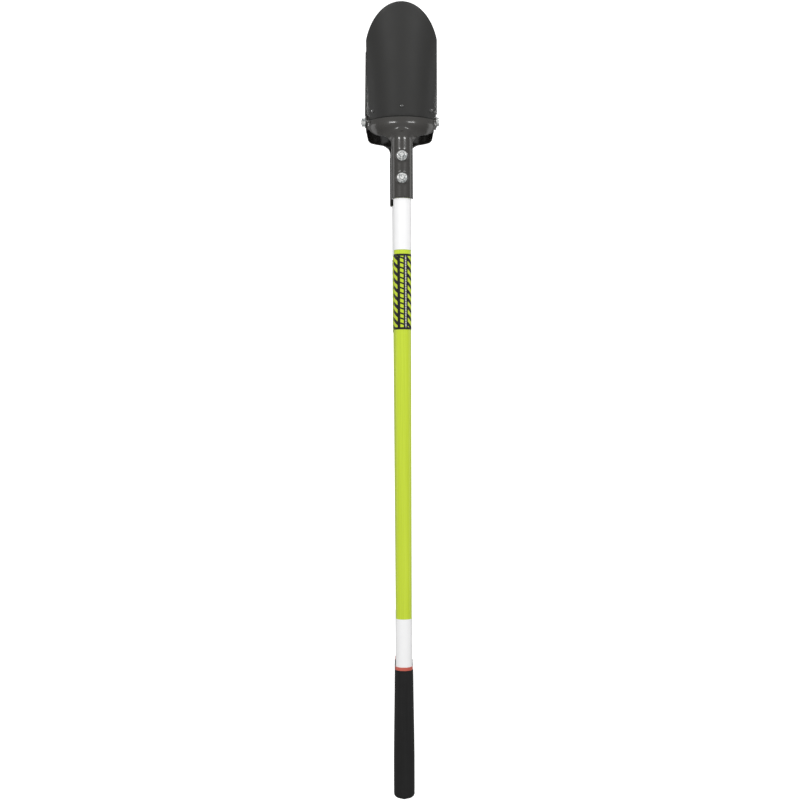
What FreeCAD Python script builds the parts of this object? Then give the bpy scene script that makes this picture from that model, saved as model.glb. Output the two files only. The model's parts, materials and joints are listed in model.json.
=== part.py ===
"""Two-handled clamshell digger: two riveted round-point blades, stamped frames, fibreglass handles.

The hinge line is the X axis and the blades point up +Z, as the tool hangs in a rack.
The front half lies on the -Y side and the rear half on the +Y side. Each half is even about its
own middle, and the two middles stand one ear apart, so that the ears lie side by side.
"""
import FreeCAD, Part

import math
import os
import re

import Sketcher
from FreeCAD import Placement, Rotation, Vector

SIZES = {
    # how far a cutting solid reaches past the metal it cuts
    "cut_margin": 5.0,
    # hinge
    "hinge_gap": 0.4,
    "ear_wall": 3.6,
    "ear_gap": 0.3,
    "ear_radius": 13.0,
    "ear_inset": 5.35,
    "ear_root": 22.0,
    "ear_depth": 16.0,
    "notch_clearance": 1.5,
    "stop_clearance": 0.3,
    # blades
    "blade_length": 205.7,
    "blade_half_width": 66.7,
    "blade_taper": 0.6,
    "blade_wall": 2.0,
    "blade_depth": 54.5,
    "blade_tip_depth": 80.0,
    "edge_lean": 17.0,
    "point_length": 88.0,
    "point_swell": 2.8,
    "shoulder_drop": 61.7,
    # frames
    "frame_wall": 3.6,
    "collar_height": 28.0,
    "rim_proud": 0.8,
    "bead_drop": 15.0,
    "bead_proud": 3.2,
    "skirt_drop": 33.5,
    "skirt_tuck": 2.0,
    "skirt_trim": 0.7,
    "front_skirt_corner": 32.0,
    "front_neck_radius": 22.0,
    "rear_skirt_drop": 36.5,
    "rear_skirt_trim": 6.2,
    "rear_skirt_lean": 10.8,
    "rear_skirt_corner": 7.0,
    "rear_neck_radius": 16.0,
    "band_run_out": 3.0,
    "neck_blend": 9.0,
    "socket_clearance": 0.3,
    "socket_bottom": 153.0,
    "socket_lip": 8.0,
    "socket_dome_rise": 1.0,
    "socket_flat": 0.05,
    "boss_radius": 11.2,
    "boss_proud": 0.4,
    # rivets
    "rivet_height": 15.0,
    "middle_rivet_rise": 3.0,
    "rivet_spread": 52.0,
    "rivet_radius": 2.4,
    "rivet_head_radius": 3.8,
    "rivet_head_height": 1.6,
    "rivet_clearance": 0.1,
    # handles
    "socket_proud": 12.4,
    "dome_drop": 7.7,
    "handle_length": 1219.0,
    "handle_radius": 16.4,
    "handle_end_radius": 14.4,
    "handle_lean": 0.09,
    "handle_wall": 3.0,
    "core_length": 120.0,
    "core_clearance": 0.1,
    "end_plug_length": 30.0,
    # bands, label and ring on the handles
    "tape_wall": 0.5,
    "tape_clearance": 0.02,
    "band_start_gap": 0.5,
    "upper_band_length": 95.5,
    "lower_band_length": 89.0,
    "label_gap": 8.0,
    "label_length": 140.0,
    "label_half_angle": 105.0,
    "ring_height": 6.0,
    "ring_wall": 1.5,
    # grips
    "grip_top_radius": 17.6,
    "grip_radius": 19.5,
    "grip_length": 233.0,
    "grip_straight_length": 66.0,
    "grip_floor": 5.0,
    "grip_clearance": 0.05,
    "grip_nub_radius": 6.0,
    "grip_nub_height": 3.4,
    "grip_end_rounding": 8.0,
    # bolts
    "upper_bolt_drop": 76.0,
    "lower_bolt_drop": 117.3,
    "bolt_radius": 4.76,
    "bolt_clearance": 0.25,
    "thread_clearance": 0.05,
    "bolt_tip": 2.4,
    "hex_across_flats": 14.3,
    "hex_head_height": 6.0,
    "flange_radius": 9.6,
    "flange_height": 1.8,
    "nut_height": 8.4,
    "saddle_wall": 2.2,
    "saddle_half_height": 11.0,
    # pivots
    "bushing_radius": 7.0,
    "bushing_stand": 0.2,
    "running_clearance": 0.06,
    "pivot_nut_height": 6.0,
    "pivot_head_height": 4.0,
    "pivot_bolt_tip": 1.0,
    "pivot_washer_radius": 10.5,
    "pivot_washer_wall": 1.4,
}

doc = FreeCAD.newDocument("ClamshellDigger")
sheet = doc.addObject("Spreadsheet::Sheet", "Sizes")
for row, (alias, number) in enumerate(SIZES.items(), start=1):
    sheet.set(f"A{row}", alias)
    sheet.set(f"B{row}", str(number))
    sheet.setAlias(f"B{row}", alias)
doc.recompute()

SUBPARTS = []


def in_sheet(expression):
    """Write the plain size names of an expression as cells of the sheet."""
    return re.sub(r"\b[a-z]\w*\b", lambda m: f"Sizes.{m[0]}" if m[0] in SIZES else m[0], expression)


def value(expression):
    """Return the number that an expression of size names stands for."""
    return float(sheet.evalExpression(in_sheet(expression)))


def bind(item, **sizes):
    """Drive properties by expressions; x, y and z drive the place."""
    for name, expression in sizes.items():
        target = f"Placement.Base.{name}" if name in "xyz" else name
        item.setExpression(target, in_sheet(expression))
    return item


def add(kind, name, rotation=None, **sizes):
    """Add a Part object whose sizes and place come from the sheet."""
    item = doc.addObject(kind, name)
    if rotation:
        item.Placement = Placement(Vector(), rotation)
    return bind(item, **sizes)


def combine(kind, name, *items):
    """Add a boolean or compound of several objects."""
    item = doc.addObject(kind, name)
    if kind == "Part::Cut":
        item.Base, item.Tool = items
    elif kind == "Part::Compound":
        item.Links = list(items)
    else:
        item.Shapes = list(items)
    return item


def fuse(name, *items):
    return combine("Part::MultiFuse", name, *items)


def common(name, *items):
    return combine("Part::MultiCommon", name, *items)


def cut(name, base, tool):
    return combine("Part::Cut", name, base, tool)


def mirror(name, source):
    """Mirror an object through the hinge plane."""
    item = doc.addObject("Part::Mirroring", name)
    item.Source = source
    item.Normal = Vector(0, 1, 0)
    return item


def subpart(item, label):
    """Name a finished sub-part; its label is its file's name."""
    item.Label = label
    SUBPARTS.append(item)
    return item


TO_MINUS_Y = Rotation(Vector(1, 0, 0), 90)
TO_PLUS_Y = Rotation(Vector(1, 0, 0), -90)
TO_PLUS_X = Rotation(Vector(0, 1, 0), 90)
TO_MINUS_X = Rotation(Vector(0, 1, 0), -90)


# ---- sketches -------------------------------------------------------------------------------

def hold(sketch, edge, end, x, y):
    """Hold one end of a sketch edge at a place given by two expressions."""
    for kind, expression in (("DistanceX", x), ("DistanceY", y)):
        constraint = Sketcher.Constraint(kind, -1, 1, edge, end, value(expression))
        index = sketch.addConstraint(constraint)
        sketch.setExpression(f"Constraints[{index}]", in_sheet(expression))


def draw_outline(sketch, corners):
    """Draw a closed outline of straight lines through corners given as expressions."""
    count = len(corners)
    points = [Vector(value(x), value(y), 0) for x, y in corners]
    for i in range(count):
        sketch.addGeometry(Part.LineSegment(points[i], points[(i + 1) % count]), False)
    for i in range(count):
        sketch.addConstraint(Sketcher.Constraint("Coincident", i, 2, (i + 1) % count, 1))
    for i, (x, y) in enumerate(corners):
        hold(sketch, i, 1, x, y)


def draw_circle(sketch, radius, x="0", y="0"):
    """Draw a circle whose radius and centre are expressions."""
    centre = Vector(value(x), value(y), 0)
    edge = sketch.addGeometry(Part.Circle(centre, Vector(0, 0, 1), value(radius)), False)
    index = sketch.addConstraint(Sketcher.Constraint("Radius", edge, value(radius)))
    sketch.setExpression(f"Constraints[{index}]", in_sheet(radius))
    hold(sketch, edge, 3, x, y)


def arc_section(name, height, half_chord, edge, crown):
    """Draw a horizontal section: an arc from edge to edge over the crown, closed by its chord."""
    radius = f"(({half_chord})^2 + (({crown}) - ({edge}))^2) / 2 / (({crown}) - ({edge}))"
    reach, near, depth, bend = (value(e) for e in (half_chord, edge, crown, radius))
    middle = Vector(0, bend - depth, 0)
    swing = math.atan2(-near - middle.y, reach)
    circle = Part.Circle(middle, Vector(0, 0, 1), bend)
    section = doc.addObject("Sketcher::SketchObject", name)
    section.addGeometry(Part.ArcOfCircle(circle, -math.pi - swing, swing), False)
    section.addGeometry(Part.LineSegment(Vector(reach, -near, 0), Vector(-reach, -near, 0)), False)
    section.addConstraint(Sketcher.Constraint("Coincident", 0, 2, 1, 1))
    section.addConstraint(Sketcher.Constraint("Coincident", 1, 2, 0, 1))
    hold(section, 1, 1, half_chord, f"-({edge})")
    hold(section, 1, 2, f"-({half_chord})", f"-({edge})")
    index = section.addConstraint(Sketcher.Constraint("Radius", 0, bend))
    section.setExpression(f"Constraints[{index}]", in_sheet(radius))
    return bind(section, z=height)


def loft(name, sections, ruled):
    item = doc.addObject("Part::Loft", name)
    item.Sections = sections
    item.Solid = True
    item.Ruled = ruled
    return item


# ---- bodies ---------------------------------------------------------------------------------

def sketch_in(body, role, name):
    """Add a sketch on one of a body's own origin planes."""
    plane = next(f for f in body.Origin.OriginFeatures if f.Role == role)
    sketch = body.newObject("Sketcher::SketchObject", name)
    sketch.AttachmentSupport = (plane, [""])
    sketch.MapMode = "FlatFace"
    return sketch


def turned(name, corners, angle=None):
    """Make a body by turning an outline of (radius, height) corners about its own Z axis."""
    body = doc.addObject("PartDesign::Body", name)
    sketch = sketch_in(body, "XZ_Plane", f"{name}_profile")
    draw_outline(sketch, corners)
    turn = body.newObject("PartDesign::Revolution", f"{name}_turn")
    turn.Profile = sketch
    turn.ReferenceAxis = (sketch, ["V_Axis"])
    turn.Angle = 360
    if angle:
        turn.Midplane = True
        turn.setExpression("Angle", in_sheet(angle))
    sketch.Visibility = False
    return body


def hex_corners(across_flats):
    """Return the corners of a hexagon as expressions."""
    reach = f"{across_flats} / sqrt(3)"
    return [(f"{reach} * cos({60 * k} deg)", f"{reach} * sin({60 * k} deg)") for k in range(6)]


def pad(body, name, draw, length, lift=None):
    """Pad a sketch, drawn by a function, along +Z of its body."""
    sketch = sketch_in(body, "XY_Plane", f"{name}_sketch")
    draw(sketch)
    if lift:
        sketch.setExpression("AttachmentOffset.Base.z", in_sheet(lift))
    item = body.newObject("PartDesign::Pad", name)
    item.Profile = sketch
    item.setExpression("Length", in_sheet(length))
    return item


def bore(body, name, radius, centres, role="XZ_Plane"):
    """Pocket round holes right through a body, both ways from one of its planes."""
    sketch = sketch_in(body, role, f"{name}_sketch")
    for x, y in centres:
        draw_circle(sketch, radius, x, y)
    item = body.newObject("PartDesign::Pocket", name)
    item.Profile = sketch
    item.Type = "ThroughAll"
    item.Midplane = True
    return item


# ---- shared places --------------------------------------------------------------------------

SOCKET_RADIUS = "(handle_radius + socket_clearance)"
SOCKET_OUTSIDE = "(handle_radius + socket_clearance + frame_wall)"
HANDLE_OFFSET = f"(hinge_gap + blade_depth + socket_proud - {SOCKET_OUTSIDE})"
HANDLE_TOP = f"(bead_drop + dome_drop + {SOCKET_OUTSIDE} + socket_dome_rise)"
SOCKET_DOME = f"({HANDLE_TOP} - socket_dome_rise)"
HANDLE_BOTTOM = f"({HANDLE_TOP} + handle_length)"
UPPER_BAND_TOP = "(socket_bottom + band_start_gap)"
UPPER_BAND_BOTTOM = f"({UPPER_BAND_TOP} + upper_band_length)"
LABEL_TOP = f"({UPPER_BAND_BOTTOM} + label_gap)"
RING_BOTTOM = f"({HANDLE_BOTTOM} - grip_length)"
LOWER_BAND_BOTTOM = f"({RING_BOTTOM} - ring_height)"
LOWER_BAND_TOP = f"({LOWER_BAND_BOTTOM} - lower_band_length)"
NOTCH = "(ear_radius + notch_clearance)"
HALF_SHIFT = "((ear_wall + ear_gap) / 2)"
EAR_FACE = "(blade_half_width - ear_inset)"
BUSHING_START = f"({EAR_FACE} - {HALF_SHIFT} - bushing_stand)"
BUSHING_END = f"({EAR_FACE} + ear_wall + {HALF_SHIFT} + bushing_stand)"
TIP_HALF_WIDTH = "(blade_half_width - blade_taper)"
POINT_HALF_WIDTH = "(blade_half_width + point_swell)"
BLADE_REACH = "(blade_tip_depth + cut_margin)"
BOLT_DROPS = ("upper_bolt_drop", "lower_bolt_drop")
SIDES = (-1, 1)


def handle_at(drop):
    """Return the handle's radius at a drop below the hinge line."""
    taper = "(handle_radius - handle_end_radius) / handle_length"
    return f"(handle_radius - {taper} * (({drop}) - {HANDLE_TOP}))"


def crossbar(name, radius):
    """Return a bar along the hinge line, right across the tool."""
    reach = "(blade_half_width + 2 * cut_margin)"
    return add("Part::Cylinder", name, TO_PLUS_X, Radius=radius, Height=f"2 * {reach}", x=f"-{reach}")


def block(name, x, y, z):
    """Return a box between pairs of limits."""
    return add("Part::Box", name, Length=f"({x[1]}) - ({x[0]})", Width=f"({y[1]}) - ({y[0]})",
               Height=f"({z[1]}) - ({z[0]})", x=x[0], y=y[0], z=z[0])


# ---- blades ---------------------------------------------------------------------------------

def blade_space(name, wall):
    """Return the solid under the blade's sheet, a wall's thickness in from its outside."""
    tip_edge = "hinge_gap + blade_length * tan(edge_lean)"
    ends = (
        ("0", "blade_half_width", "hinge_gap", "hinge_gap + blade_depth"),
        ("blade_length", TIP_HALF_WIDTH, tip_edge, "blade_tip_depth"),
    )
    sections = []
    for height, half, edge, crown in ends:
        depth = f"(({crown}) - ({edge}))"
        bend = f"((({half})^2 + {depth}^2) / 2 / {depth})"
        chord = f"sqrt(({bend} - ({wall}))^2 - ({bend} - {depth})^2)"
        section = arc_section(f"{name}_{len(sections)}", height, chord, edge, f"({crown}) - ({wall})")
        sections.append(section)
    return loft(name, sections, ruled=True)


def blade_blank():
    """Return the flat outline of a blade, as a prism through the tool."""
    reach = f"({POINT_HALF_WIDTH} + cut_margin)"
    straight = block("blade_straight", (f"-{reach}", reach),
                     (f"-{BLADE_REACH}", "0"), ("-cut_margin", "blade_length - shoulder_drop"))
    upright = Rotation(Vector(0, 0, 1), Vector(1, 0, 0), Vector(0, 1, 0), "ZXY")
    point = add("Part::Ellipse", "blade_point", upright, MajorRadius="point_length",
                MinorRadius=POINT_HALF_WIDTH, z="blade_length - point_length")
    rounded = doc.addObject("Part::Extrusion", "blade_rounding")
    rounded.Base = point
    rounded.DirMode = "Custom"
    rounded.Dir = Vector(0, -1, 0)
    rounded.Solid = True
    bind(rounded, LengthFwd=BLADE_REACH)
    return fuse("blade_blank", straight, rounded)


def hinge_notch():
    """Return the space around the hinge line that both halves leave for the ears."""
    swing = crossbar("notch_swing", NOTCH)
    reach = "(blade_half_width + 2 * cut_margin)"
    corner = block("notch_corner", (f"-{reach}", reach), (f"-{NOTCH}", NOTCH),
                   ("-ear_depth - notch_clearance", "0"))
    return fuse("hinge_notch", swing, corner)


blade_outside = blade_space("blade_outside", "0")
blade_inside = blade_space("blade_inside", "blade_wall")
collar_inside = blade_space("collar_inside", "blade_wall + frame_wall")
notch = hinge_notch()


def rivet_turn(spread):
    """Return the rotation that points local Z out through the blade at an angle from its crown."""
    return Rotation(Vector(0, 0, 1), spread) * TO_MINUS_Y


def rivet_place(spread, height):
    """Return a rivet's outward angle and its seat on the blade's outside."""
    share = height / value("blade_length")
    half = value("blade_half_width") + share * value("-blade_taper")
    edge = value("hinge_gap") + height * math.tan(math.radians(value("edge_lean")))
    crown = value("hinge_gap + blade_depth")
    crown += share * (value("blade_tip_depth") - crown)
    bend = (half ** 2 + (crown - edge) ** 2) / 2 / (crown - edge)
    angle = math.radians(spread)
    return spread, Vector(bend * math.sin(angle), bend - crown - bend * math.cos(angle), height)


def rivet(index, spread, seat):
    """Return one rivet: a shank with a round head outside the blade and a formed head inside."""
    turn = rivet_turn(spread)
    name = f"rivet_{index}"
    grip = value("blade_wall + frame_wall")
    inner = seat - turn.multVec(Vector(0, 0, grip))
    shank = add("Part::Cylinder", f"{name}_shank", Radius="rivet_radius",
                Height="blade_wall + frame_wall + rivet_head_height")
    shank.Placement = Placement(inner - turn.multVec(Vector(0, 0, value("rivet_head_height") / 2)), turn)
    domes = []
    for end, centre in (("head", seat), ("tail", inner)):
        dome = add("Part::Ellipsoid", f"{name}_{end}_dome", Radius1="rivet_head_height",
                   Radius2="rivet_head_radius", Radius3="rivet_head_radius")
        dome.Placement = Placement(centre, turn)
        domes.append(dome)
    head = cut(f"{name}_head", domes[0], blade_outside)
    tail = common(f"{name}_tail", domes[1], collar_inside)
    return fuse(name, shank, head, tail)


def rivet_hole(index, spread, seat):
    turn = rivet_turn(spread)
    depth = "blade_wall + frame_wall + cut_margin"
    hole = add("Part::Cylinder", f"rivet_hole_{index}", Radius="rivet_radius + rivet_clearance",
               Height=f"{depth} + cut_margin")
    hole.Placement = Placement(seat - turn.multVec(Vector(0, 0, value(depth))), turn)
    return hole


side_spread = value("rivet_spread")
side_height = value("rivet_height")
places = [
    rivet_place(-side_spread, side_height),
    rivet_place(0, side_height + value("middle_rivet_rise")),
    rivet_place(side_spread, side_height),
]
rivet_holes = fuse("rivet_holes", *[rivet_hole(i, *place) for i, place in enumerate(places)])


def blade():
    """Return the front blade: a rolled sheet, cut to a round point and punched for its rivets."""
    rolled = cut("blade_rolled", blade_outside, blade_inside)
    trimmed = common("blade_trimmed", rolled, blade_blank())
    notched = cut("blade_notched", trimmed, notch)
    return cut("blade", notched, rivet_holes)


# ---- frames ---------------------------------------------------------------------------------

BAND = (
    ("0", "rim_proud"),
    ("bead_drop / 2", "0.8 * bead_proud"),
    ("bead_drop", "bead_proud"),
    ("(bead_drop + skirt_drop) / 2", "(bead_proud - skirt_tuck) / 2"),
    ("skirt_drop", "-skirt_tuck"),
    ("skirt_drop + front_neck_radius + band_run_out", "-2 * skirt_tuck"),
)


def band_space(name, wall):
    """Return the solid under the frame's beaded band, a wall's thickness in from its outside."""
    sections = []
    for drop, proud in BAND:
        inset = "blade_wall" if wall != "0" and drop == "0" else "0"
        grow = f"(({proud}) - ({wall}) - ({inset}))"
        section = arc_section(f"{name}_{len(sections)}", f"-({drop})", f"blade_half_width + {grow}",
                              "hinge_gap", f"hinge_gap + blade_depth + {grow}")
        sections.append(section)
    return loft(name, sections, ruled=False)


def tube_end(name, radius, bottom, back):
    """Return a socket-shaped solid: a domed cylinder round the handle, widened towards the hinge."""
    barrel = add("Part::Cylinder", f"{name}_barrel", Radius=radius,
                 Height=f"({bottom}) - {SOCKET_DOME}", y=f"-{HANDLE_OFFSET}", z=f"-({bottom})")
    dome = add("Part::Sphere", f"{name}_dome", Radius=radius, y=f"-{HANDLE_OFFSET}", z=f"-{SOCKET_DOME}")
    sides = block(f"{name}_sides", (f"-{radius}", radius),
                  (f"-{HANDLE_OFFSET}", f"-{HANDLE_OFFSET} + {back}"), (f"-({bottom})", f"-{SOCKET_DOME}"))
    return fuse(name, barrel, dome, sides)


def socket_mouth():
    """Return the space that leaves the socket open towards the hinge plane, past its lips."""
    half = f"({SOCKET_OUTSIDE} + cut_margin)"
    return block("socket_mouth", (f"-{half}", half),
                 (f"-{HANDLE_OFFSET} + socket_lip", f"-{HANDLE_OFFSET} + {half}"),
                 ("-socket_bottom - cut_margin", "-skirt_drop"))


def seam_edges(shape):
    """Return the numbers of the edges where the band's rolled face meets the socket."""
    rolled = [f for f in shape.Faces if isinstance(f.Surface, Part.BSplineSurface)]
    socket = [f for f in shape.Faces if isinstance(f.Surface, (Part.Cylinder, Part.Sphere))]
    numbers = []
    for number, edge in enumerate(shape.Edges, start=1):
        touches = [any(edge.isSame(e) for f in faces for e in f.Edges) for faces in (rolled, socket)]
        if all(touches):
            numbers.append(number)
    return numbers


def rounded(name, base, radius, chosen):
    """Round the edges of a Part object that a function picks from its shape."""
    doc.recompute()
    item = doc.addObject("Part::Fillet", name)
    item.Base = base
    item.Edges = [(number, value(radius), value(radius)) for number in chosen(base.Shape)]
    return item


def edges_along_y(x, z):
    """Return a chooser for the edges that run along Y at one |x| and one height."""
    def chosen(shape):
        numbers = []
        for number, edge in enumerate(shape.Edges, start=1):
            box = edge.BoundBox
            along = max(box.XLength, box.ZLength) < 0.01
            if along and abs(abs(box.XMin) - value(x)) < 0.01 and abs(box.ZMin - value(z)) < 0.01:
                numbers.append(number)
        return numbers
    return chosen


def prism(name, corners):
    """Return a prism along Y, from the hinge plane out past the blade, of an (x, z) outline."""
    sketch = doc.addObject("Sketcher::SketchObject", f"{name}_sketch")
    sketch.Placement = Placement(Vector(), TO_MINUS_Y)
    draw_outline(sketch, corners)
    item = doc.addObject("Part::Extrusion", name)
    item.Base = sketch
    item.DirMode = "Normal"
    item.Solid = True
    return bind(item, LengthFwd=BLADE_REACH)


def frame_blank(half, drop, low_half_width, lean, corner, neck_radius):
    """Return the outline of a frame, as a prism: a wide skirt and the socket under it."""
    top = "blade_half_width"
    top_half_width = f"{low_half_width} + ({drop} + {top}) * tan({lean})"
    skirt = prism(f"{half}_skirt", [
        (f"-({low_half_width})", f"-{drop}"),
        (low_half_width, f"-{drop}"),
        (top_half_width, top),
        (f"-({top_half_width})", top),
    ])
    low = edges_along_y(low_half_width, f"-{drop}")
    skirt = rounded(f"{half}_skirt_rounded", skirt, corner, low)
    neck = f"{SOCKET_OUTSIDE} - socket_flat"
    stem = block(f"{half}_stem", (f"-({neck})", neck), (f"-{BLADE_REACH}", "0"),
                 ("-socket_bottom - cut_margin", f"-{drop} / 2"))
    outline = fuse(f"{half}_outline", skirt, stem)
    return rounded(f"{half}_blank", outline, neck_radius, edges_along_y(neck, f"-{drop}"))


def ears(half, heel_side):
    """Return the two plates that carry the hinge; a heel on one of them stops the other half."""
    pieces = []
    for side in SIDES:
        start = EAR_FACE if side > 0 else f"-{EAR_FACE} - ear_wall"
        x = (start, f"{start} + ear_wall")
        name = f"{half}_ear_{'right' if side > 0 else 'left'}"
        pieces.append(add("Part::Cylinder", f"{name}_lug", TO_PLUS_X, Radius="ear_radius",
                          Height="ear_wall", x=start))
        pieces.append(block(f"{name}_root", x, ("-ear_root", "0"), ("-ear_depth", "0")))
        if side == heel_side:
            pieces.append(block(f"{name}_heel", x, ("0", f"{NOTCH} - stop_clearance"),
                                ("-ear_depth", "-ear_depth / 2")))
    return pieces


def bolt_bosses(name, radius, inner, outer):
    """Return a round bar along Y at each handle bolt."""
    return [add("Part::Cylinder", f"{name}_{i}", TO_MINUS_Y, Radius=radius,
                Height=f"({outer}) - ({inner})", y=f"-({inner})", z=f"-{drop}")
            for i, drop in enumerate(BOLT_DROPS)]


band_outside = band_space("band_outside", "0")
band_inside = band_space("band_inside", "frame_wall")
socket_outside = tube_end("socket_outside", SOCKET_OUTSIDE, "socket_bottom", "socket_lip")
socket_inside = tube_end("socket_inside", SOCKET_RADIUS, "socket_bottom + cut_margin",
                         "socket_lip + cut_margin")
pressing_sharp = fuse("pressing_sharp", band_outside, socket_outside)
pressing = rounded("pressing", pressing_sharp, "neck_blend", seam_edges)
boss_face = f"{HANDLE_OFFSET} + {SOCKET_OUTSIDE} + boss_proud"
embossed = fuse("embossed", pressing, *bolt_bosses("boss", "boss_radius", HANDLE_OFFSET, boss_face))
bolt_ways = bolt_bosses("bolt_way", "bolt_radius + bolt_clearance", "0", f"{boss_face} + cut_margin")
hollow = fuse("frame_hollow", band_inside, socket_inside, socket_mouth(), *bolt_ways)
shell = cut("frame_shell", embossed, hollow)
collar_slab = block("collar_slab", ("-blade_half_width - cut_margin", "blade_half_width + cut_margin"),
                    (f"-{BLADE_REACH}", "0"), ("0", "collar_height"))
collar = cut("collar", common("collar_outside", blade_inside, collar_slab), collar_inside)
pivot_bore = crossbar("pivot_bore", "bushing_radius + running_clearance")


def frame(half, blank, heel_side):
    """Return a frame in the front half's place: collar, beaded skirt, socket and hinge ears."""
    blanked = common(f"{half}_blanked", shell, blank)
    joined = fuse(f"{half}_joined", blanked, collar)
    notched = cut(f"{half}_notched", joined, notch)
    eared = fuse(f"{half}_eared", notched, *ears(half, heel_side))
    bored = cut(f"{half}_bored", eared, pivot_bore)
    return cut(f"{half}_frame_pressing", bored, rivet_holes)


# ---- handles --------------------------------------------------------------------------------

def on_handle(body):
    return bind(body, y=f"-{HANDLE_OFFSET}")


def sleeve(name, top, bottom, clearance, wall, angle=None):
    """Return a thin sleeve that follows the handle's taper between two drops."""
    corners = [
        (f"{handle_at(top)} + {clearance}", f"-({top})"),
        (f"{handle_at(top)} + {clearance} + {wall}", f"-({top})"),
        (f"{handle_at(bottom)} + {clearance} + {wall}", f"-({bottom})"),
        (f"{handle_at(bottom)} + {clearance}", f"-({bottom})"),
    ]
    return on_handle(turned(name, corners, angle))


def plug(name, top, bottom):
    """Return a plug that fills the handle's bore between two drops."""
    corners = [
        ("0", f"-({top})"),
        (f"{handle_at(top)} - handle_wall - core_clearance", f"-({top})"),
        (f"{handle_at(bottom)} - handle_wall - core_clearance", f"-({bottom})"),
        ("0", f"-({bottom})"),
    ]
    return on_handle(turned(name, corners))


def cross_drilled(body):
    """Drill a body on the handle for the two handle bolts."""
    centres = [("0", f"-{drop}") for drop in BOLT_DROPS]
    bore(body, f"{body.Name}_holes", "bolt_radius + bolt_clearance", centres)
    return body


def handle():
    """Return the fibreglass tube, drilled for its bolts."""
    return cross_drilled(sleeve("handle", HANDLE_TOP, HANDLE_BOTTOM, "-handle_wall", "handle_wall"))


def grip():
    """Return the cushion grip: a sleeve with a closed, rounded end and a small moulding nub."""
    end = f"{HANDLE_BOTTOM} + grip_floor"
    mouth = f"{handle_at(RING_BOTTOM)} + grip_clearance"
    seat = f"{handle_at(HANDLE_BOTTOM)} + grip_clearance"
    body = turned("grip", [
        (mouth, f"-{RING_BOTTOM}"),
        ("grip_top_radius", f"-{RING_BOTTOM}"),
        ("grip_radius", f"-({HANDLE_BOTTOM} - grip_straight_length)"),
        ("grip_radius", f"-({end})"),
        ("0", f"-({end})"),
        ("0", f"-{HANDLE_BOTTOM}"),
        (seat, f"-{HANDLE_BOTTOM}"),
    ])
    doc.recompute()
    turn = body.Tip
    rim = [f"Edge{i}" for i, e in enumerate(turn.Shape.Edges, start=1)
           if abs(e.BoundBox.ZMin + value(end)) < 0.01 and abs(e.BoundBox.ZMax + value(end)) < 0.01
           and isinstance(e.Curve, Part.Circle)]
    rounding = body.newObject("PartDesign::Fillet", "grip_rounding")
    rounding.Base = (turn, rim)
    rounding.setExpression("Radius", in_sheet("grip_end_rounding"))
    pad(body, "grip_nub", lambda s: draw_circle(s, "grip_nub_radius"),
        "grip_nub_height + grip_floor / 2", lift=f"-({end}) - grip_nub_height")
    return on_handle(body)


# ---- fasteners ------------------------------------------------------------------------------

def bolt(name, head, length):
    """Return a hexagon bolt along +Z with the underside of its head at its origin."""
    body = doc.addObject("PartDesign::Body", name)
    pad(body, f"{name}_head", lambda s: draw_outline(s, hex_corners("hex_across_flats")), head,
        lift=f"-({head})")
    pad(body, f"{name}_shank", lambda s: draw_circle(s, "bolt_radius"), length)
    return body


def nut(name, height, flange=None):
    """Return a hexagon nut along +Z from its origin, with a round flange if it has one."""
    body = doc.addObject("PartDesign::Body", name)
    if flange:
        pad(body, f"{name}_flange", lambda s: draw_circle(s, flange), "flange_height")
    pad(body, f"{name}_hex", lambda s: draw_outline(s, hex_corners("hex_across_flats")), height)
    bore(body, f"{name}_bore", "bolt_radius + thread_clearance", [("0", "0")], role="XY_Plane")
    return body


def ring(name, inner, outer, low, high):
    """Return a flat ring about its own Z axis."""
    return turned(name, [(inner, low), (outer, low), (outer, high), (inner, high)])


def facing(item, turn, **place):
    item.Placement = Placement(Vector(), turn)
    return bind(item, **place)


def handle_bolt_set():
    """Return the compounds of handle bolts, flange nuts and saddles of one half."""
    saddle_face = "(handle_radius + socket_clearance + saddle_wall)"
    nut_face = f"({HANDLE_OFFSET} + {SOCKET_OUTSIDE} + boss_proud)"
    length = f"{nut_face} - {HANDLE_OFFSET} + {saddle_face} + nut_height + bolt_tip"
    bolts, nuts, saddles = [], [], []
    for i, drop in enumerate(BOLT_DROPS):
        place = {"z": f"-{drop}"}
        bolts.append(facing(bolt(f"handle_bolt_{i}", "hex_head_height", length), TO_MINUS_Y,
                            y=f"-{HANDLE_OFFSET} + {saddle_face}", **place))
        nuts.append(facing(nut(f"handle_nut_{i}", "nut_height", "flange_radius"), TO_MINUS_Y,
                           y=f"-{nut_face}", **place))
        cheek = "saddle_half_height"
        pad_block = block(f"saddle_block_{i}", (f"-{cheek}", cheek),
                          (f"-{HANDLE_OFFSET} + socket_lip", f"-{HANDLE_OFFSET} + {saddle_face}"),
                          (f"-{drop} - {cheek}", f"-{drop} + {cheek}"))
        tube = add("Part::Cylinder", f"saddle_tube_{i}", Radius=SOCKET_RADIUS, Height=f"4 * {cheek}",
                   y=f"-{HANDLE_OFFSET}", z=f"-{drop} - 2 * {cheek}")
        way = add("Part::Cylinder", f"saddle_way_{i}", TO_MINUS_Y, Radius="bolt_radius + bolt_clearance",
                  Height=HANDLE_OFFSET, z=f"-{drop}")
        saddles.append(cut(f"saddle_{i}", pad_block, fuse(f"saddle_hollow_{i}", tube, way)))
    return (combine("Part::Compound", "handle_bolts", *bolts),
            combine("Part::Compound", "handle_nuts", *nuts),
            combine("Part::Compound", "handle_saddles", *saddles))


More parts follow.
